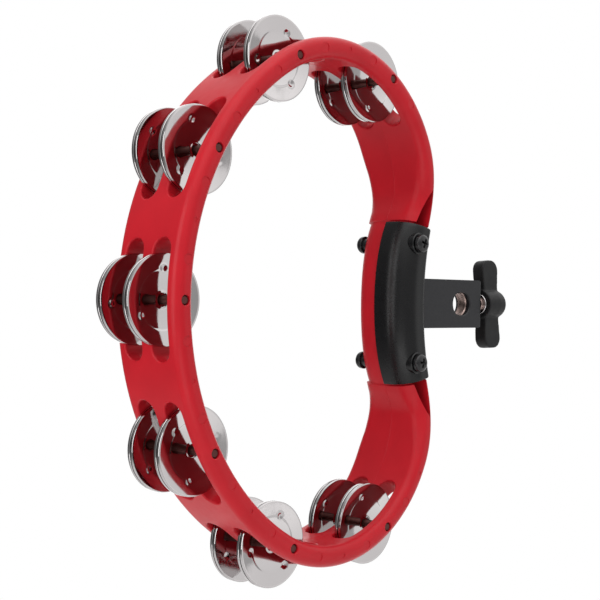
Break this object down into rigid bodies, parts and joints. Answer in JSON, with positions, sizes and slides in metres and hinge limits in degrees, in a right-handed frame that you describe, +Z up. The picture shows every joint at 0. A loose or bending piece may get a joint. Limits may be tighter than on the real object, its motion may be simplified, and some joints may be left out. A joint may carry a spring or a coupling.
{
  "type": "mountable tambourine",
  "caption": "Crescent plastic tambourine with two rows of paired steel jingles on pins, a hollow grip with a black saddle cover, and a folded rod clamp tightened by a wing nut.",
  "frame": {"origin": "centre of the rod hole through the clamp bracket", "axes": "+X runs outboard from the handle to the wing nut, Y is the axis of the loop with the player side facing -Y, +Z is up along the handle"},
  "size_m": [0.276, 0.0442, 0.2684],
  "materials": {
    "red_abs": "satin moulded ABS, bright red, fine grain",
    "black_plastic": "satin black moulded plastic",
    "powder_coat": "dark grey powder coat, fine texture",
    "black_oxide": "glossy black oxide",
    "nickel_steel": "polished nickel-plated steel",
    "plain_steel": "zinc-plated steel"
  },
  "bodies": {
    "body": {"frame": "red_abs", "saddle_cover": "black_plastic", "bracket": "powder_coat", "washer": "nickel_steel", "bolt_top": "black_oxide", "bolt_bottom": "black_oxide", "barrel_nut_top": "black_oxide", "barrel_nut_bottom": "black_oxide", "pin_1": "plain_steel", "pin_2": "plain_steel", "pin_3": "plain_steel", "pin_4": "plain_steel", "pin_5": "plain_steel", "pin_6": "plain_steel", "pin_7": "plain_steel"},
    "eye_bolt": {"eye_bolt": "plain_steel"},
    "wing_nut": {"wing_nut": "black_plastic", "wing_nut_insert": "plain_steel"},
    "jingle_1_front_near": {"jingle_1_front_near": "nickel_steel"},
    "jingle_1_front_far": {"jingle_1_front_far": "nickel_steel"},
    "jingle_1_rear_near": {"jingle_1_rear_near": "nickel_steel"},
    "jingle_1_rear_far": {"jingle_1_rear_far": "nickel_steel"},
    "jingle_2_front_near": {"jingle_2_front_near": "nickel_steel"},
    "jingle_2_front_far": {"jingle_2_front_far": "nickel_steel"},
    "jingle_2_rear_near": {"jingle_2_rear_near": "nickel_steel"},
    "jingle_2_rear_far": {"jingle_2_rear_far": "nickel_steel"},
    "jingle_3_front_near": {"jingle_3_front_near": "nickel_steel"},
    "jingle_3_front_far": {"jingle_3_front_far": "nickel_steel"},
    "jingle_3_rear_near": {"jingle_3_rear_near": "nickel_steel"},
    "jingle_3_rear_far": {"jingle_3_rear_far": "nickel_steel"},
    "jingle_4_front_near": {"jingle_4_front_near": "nickel_steel"},
    "jingle_4_front_far": {"jingle_4_front_far": "nickel_steel"},
    "jingle_4_rear_near": {"jingle_4_rear_near": "nickel_steel"},
    "jingle_4_rear_far": {"jingle_4_rear_far": "nickel_steel"},
    "jingle_5_front_near": {"jingle_5_front_near": "nickel_steel"},
    "jingle_5_front_far": {"jingle_5_front_far": "nickel_steel"},
    "jingle_5_rear_near": {"jingle_5_rear_near": "nickel_steel"},
    "jingle_5_rear_far": {"jingle_5_rear_far": "nickel_steel"},
    "jingle_6_front_near": {"jingle_6_front_near": "nickel_steel"},
    "jingle_6_front_far": {"jingle_6_front_far": "nickel_steel"},
    "jingle_6_rear_near": {"jingle_6_rear_near": "nickel_steel"},
    "jingle_6_rear_far": {"jingle_6_rear_far": "nickel_steel"},
    "jingle_7_front_near": {"jingle_7_front_near": "nickel_steel"},
    "jingle_7_front_far": {"jingle_7_front_far": "nickel_steel"},
    "jingle_7_rear_near": {"jingle_7_rear_near": "nickel_steel"},
    "jingle_7_rear_far": {"jingle_7_rear_far": "nickel_steel"}
  },
  "joints": [
    {"name": "spin_1_front_near", "type": "hinge", "parent": "body", "child": "jingle_1_front_near", "pos_m": [-0.07972, 0, 0.11155], "axis": [0, 1, 0], "continuous": true},
    {"name": "spin_1_front_far", "type": "hinge", "parent": "body", "child": "jingle_1_front_far", "pos_m": [-0.07972, 0, 0.11155], "axis": [0, 1, 0], "continuous": true},
    {"name": "spin_1_rear_near", "type": "hinge", "parent": "body", "child": "jingle_1_rear_near", "pos_m": [-0.07972, 0, 0.11155], "axis": [0, 1, 0], "continuous": true},
    {"name": "spin_1_rear_far", "type": "hinge", "parent": "body", "child": "jingle_1_rear_far", "pos_m": [-0.07972, 0, 0.11155], "axis": [0, 1, 0], "continuous": true},
    {"name": "spin_2_front_near", "type": "hinge", "parent": "body", "child": "jingle_2_front_near", "pos_m": [-0.14639, 0, 0.11394], "axis": [0, 1, 0], "continuous": true},
    {"name": "spin_2_front_far", "type": "hinge", "parent": "body", "child": "jingle_2_front_far", "pos_m": [-0.14639, 0, 0.11394], "axis": [0, 1, 0], "continuous": true},
    {"name": "spin_2_rear_near", "type": "hinge", "parent": "body", "child": "jingle_2_rear_near", "pos_m": [-0.14639, 0, 0.11394], "axis": [0, 1, 0], "continuous": true},
    {"name": "spin_2_rear_far", "type": "hinge", "parent": "body", "child": "jingle_2_rear_far", "pos_m": [-0.14639, 0, 0.11394], "axis": [0, 1, 0], "continuous": true},
    {"name": "spin_3_front_near", "type": "hinge", "parent": "body", "child": "jingle_3_front_near", "pos_m": [-0.19618, 0, 0.06638], "axis": [0, 1, 0], "continuous": true},
    {"name": "spin_3_front_far", "type": "hinge", "parent": "body", "child": "jingle_3_front_far", "pos_m": [-0.19618, 0, 0.06638], "axis": [0, 1, 0], "continuous": true},
    {"name": "spin_3_rear_near", "type": "hinge", "parent": "body", "child": "jingle_3_rear_near", "pos_m": [-0.19618, 0, 0.06638], "axis": [0, 1, 0], "continuous": true},
    {"name": "spin_3_rear_far", "type": "hinge", "parent": "body", "child": "jingle_3_rear_far", "pos_m": [-0.19618, 0, 0.06638], "axis": [0, 1, 0], "continuous": true},
    {"name": "spin_4_front_near", "type": "hinge", "parent": "body", "child": "jingle_4_front_near", "pos_m": [-0.2145, 0, 0], "axis": [0, 1, 0], "continuous": true},
    {"name": "spin_4_front_far", "type": "hinge", "parent": "body", "child": "jingle_4_front_far", "pos_m": [-0.2145, 0, 0], "axis": [0, 1, 0], "continuous": true},
    {"name": "spin_4_rear_near", "type": "hinge", "parent": "body", "child": "jingle_4_rear_near", "pos_m": [-0.2145, 0, 0], "axis": [0, 1, 0], "continuous": true},
    {"name": "spin_4_rear_far", "type": "hinge", "parent": "body", "child": "jingle_4_rear_far", "pos_m": [-0.2145, 0, 0], "axis": [0, 1, 0], "continuous": true},
    {"name": "spin_5_front_near", "type": "hinge", "parent": "body", "child": "jingle_5_front_near", "pos_m": [-0.19618, 0, -0.06638], "axis": [0, 1, 0], "continuous": true},
    {"name": "spin_5_front_far", "type": "hinge", "parent": "body", "child": "jingle_5_front_far", "pos_m": [-0.19618, 0, -0.06638], "axis": [0, 1, 0], "continuous": true},
    {"name": "spin_5_rear_near", "type": "hinge", "parent": "body", "child": "jingle_5_rear_near", "pos_m": [-0.19618, 0, -0.06638], "axis": [0, 1, 0], "continuous": true},
    {"name": "spin_5_rear_far", "type": "hinge", "parent": "body", "child": "jingle_5_rear_far", "pos_m": [-0.19618, 0, -0.06638], "axis": [0, 1, 0], "continuous": true},
    {"name": "spin_6_front_near", "type": "hinge", "parent": "body", "child": "jingle_6_front_near", "pos_m": [-0.14639, 0, -0.11394], "axis": [0, 1, 0], "continuous": true},
    {"name": "spin_6_front_far", "type": "hinge", "parent": "body", "child": "jingle_6_front_far", "pos_m": [-0.14639, 0, -0.11394], "axis": [0, 1, 0], "continuous": true},
    {"name": "spin_6_rear_near", "type": "hinge", "parent": "body", "child": "jingle_6_rear_near", "pos_m": [-0.14639, 0, -0.11394], "axis": [0, 1, 0], "continuous": true},
    {"name": "spin_6_rear_far", "type": "hinge", "parent": "body", "child": "jingle_6_rear_far", "pos_m": [-0.14639, 0, -0.11394], "axis": [0, 1, 0], "continuous": true},
    {"name": "spin_7_front_near", "type": "hinge", "parent": "body", "child": "jingle_7_front_near", "pos_m": [-0.07972, 0, -0.11155], "axis": [0, 1, 0], "continuous": true},
    {"name": "spin_7_front_far", "type": "hinge", "parent": "body", "child": "jingle_7_front_far", "pos_m": [-0.07972, 0, -0.11155], "axis": [0, 1, 0], "continuous": true},
    {"name": "spin_7_rear_near", "type": "hinge", "parent": "body", "child": "jingle_7_rear_near", "pos_m": [-0.07972, 0, -0.11155], "axis": [0, 1, 0], "continuous": true},
    {"name": "spin_7_rear_far", "type": "hinge", "parent": "body", "child": "jingle_7_rear_far", "pos_m": [-0.07972, 0, -0.11155], "axis": [0, 1, 0], "continuous": true},
    {"name": "wing_nut_turn", "type": "hinge", "parent": "body", "child": "wing_nut", "pos_m": [0.027, 0, 0], "axis": [-1, 0, 0], "range_deg": [0, 1800]},
    {"name": "eye_bolt_draw", "type": "slide", "parent": "body", "child": "eye_bolt", "axis": [1, 0, 0], "range_m": [0, 0.005]}
  ],
  "couplings": [
    {"joint": "eye_bolt_draw", "follows": "wing_nut_turn", "m_per_rad": 0.0001591}
  ]
}
